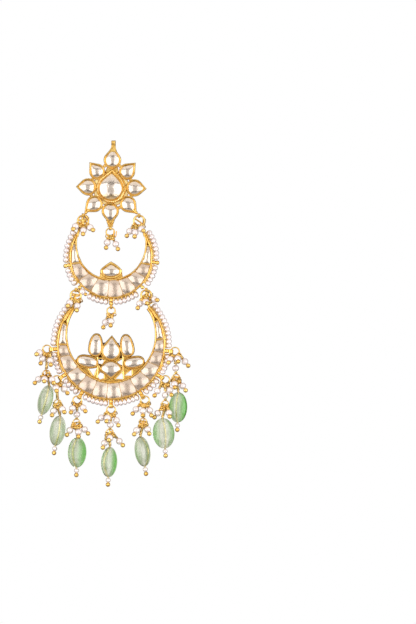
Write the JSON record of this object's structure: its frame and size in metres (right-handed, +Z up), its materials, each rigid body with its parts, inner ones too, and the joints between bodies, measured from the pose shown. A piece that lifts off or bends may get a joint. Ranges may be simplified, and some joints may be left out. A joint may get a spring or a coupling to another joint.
{
  "type": "dangle earring",
  "caption": "Long gold-coloured drop earring: a flower stud, two hinged stone-set crescents, pearl clusters and a fringe of green bead drops.",
  "frame": {"origin": "centre of the ear post on the flower's back plane, where the ear lobe rests", "axes": "+Z up, the front faces -Y, +X is to the right of a viewer who looks at the front"},
  "size_m": [0.0492, 0.0169, 0.1081],
  "materials": {
    "gold": "polished warm yellow gold plating, hand-made and slightly uneven",
    "foiled_glass": "clear, smooth domed stones over silver-white foil",
    "pearl": "white to pinkish-white pearl lustre",
    "green_glass": "polished, pale translucent green"
  },
  "bodies": {
    "stud": {"flower_setting": "gold", "ear_post": "gold", "centre_stone": "foiled_glass", "petal_stone_1": "foiled_glass", "petal_stone_2": "foiled_glass", "petal_stone_3": "foiled_glass", "petal_stone_4": "foiled_glass", "petal_stone_5": "foiled_glass", "petal_stone_6": "foiled_glass", "petal_stone_7": "foiled_glass", "petal_stone_8": "foiled_glass", "stud_ring": "gold", "stud_pins": "gold", "stud_pearls": "pearl"},
    "upper_crescent": {"upper_crescent": "gold", "upper_channel_stones": "foiled_glass", "dome_stone": "foiled_glass", "upper_ring_left": "gold", "upper_ring_right": "gold", "upper_pins": "gold", "upper_pearls": "pearl", "upper_strand": "pearl", "middle_ring": "gold", "middle_pins": "gold", "middle_pearls": "pearl"},
    "lower_crescent": {"lower_crescent": "gold", "lower_channel_stones": "foiled_glass", "lotus_stone_1": "foiled_glass", "lotus_stone_2": "foiled_glass", "lotus_stone_3": "foiled_glass", "lotus_stone_4": "foiled_glass", "lotus_stone_5": "foiled_glass", "lotus_stone_6": "foiled_glass", "lower_ring_left": "gold", "lower_ring_right": "gold", "lower_pins": "gold", "lower_pearls": "pearl", "lower_strand": "pearl", "drop_wires_1": "gold", "drop_wires_2": "gold", "drop_wires_3": "gold", "drop_wires_4": "gold", "drop_wires_5": "gold", "drop_wires_6": "gold", "drop_wires_7": "gold", "drop_pearls_1": "pearl", "drop_pearls_2": "pearl", "drop_pearls_3": "pearl", "drop_pearls_4": "pearl", "drop_pearls_5": "pearl", "drop_pearls_6": "pearl", "drop_pearls_7": "pearl", "green_bead_1": "green_glass", "green_bead_2": "green_glass", "green_bead_3": "green_glass", "green_bead_4": "green_glass", "green_bead_5": "green_glass", "green_bead_6": "green_glass", "green_bead_7": "green_glass"}
  },
  "joints": [
    {"name": "upper_swing", "type": "hinge", "parent": "stud", "child": "upper_crescent", "pos_m": [0, -0.0015, -0.00865], "axis": [1, 0, 0], "range_deg": [-80, 80]},
    {"name": "lower_swing", "type": "hinge", "parent": "upper_crescent", "child": "lower_crescent", "pos_m": [0, -0.0015, -0.0319], "axis": [1, 0, 0], "range_deg": [-80, 80]}
  ]
}
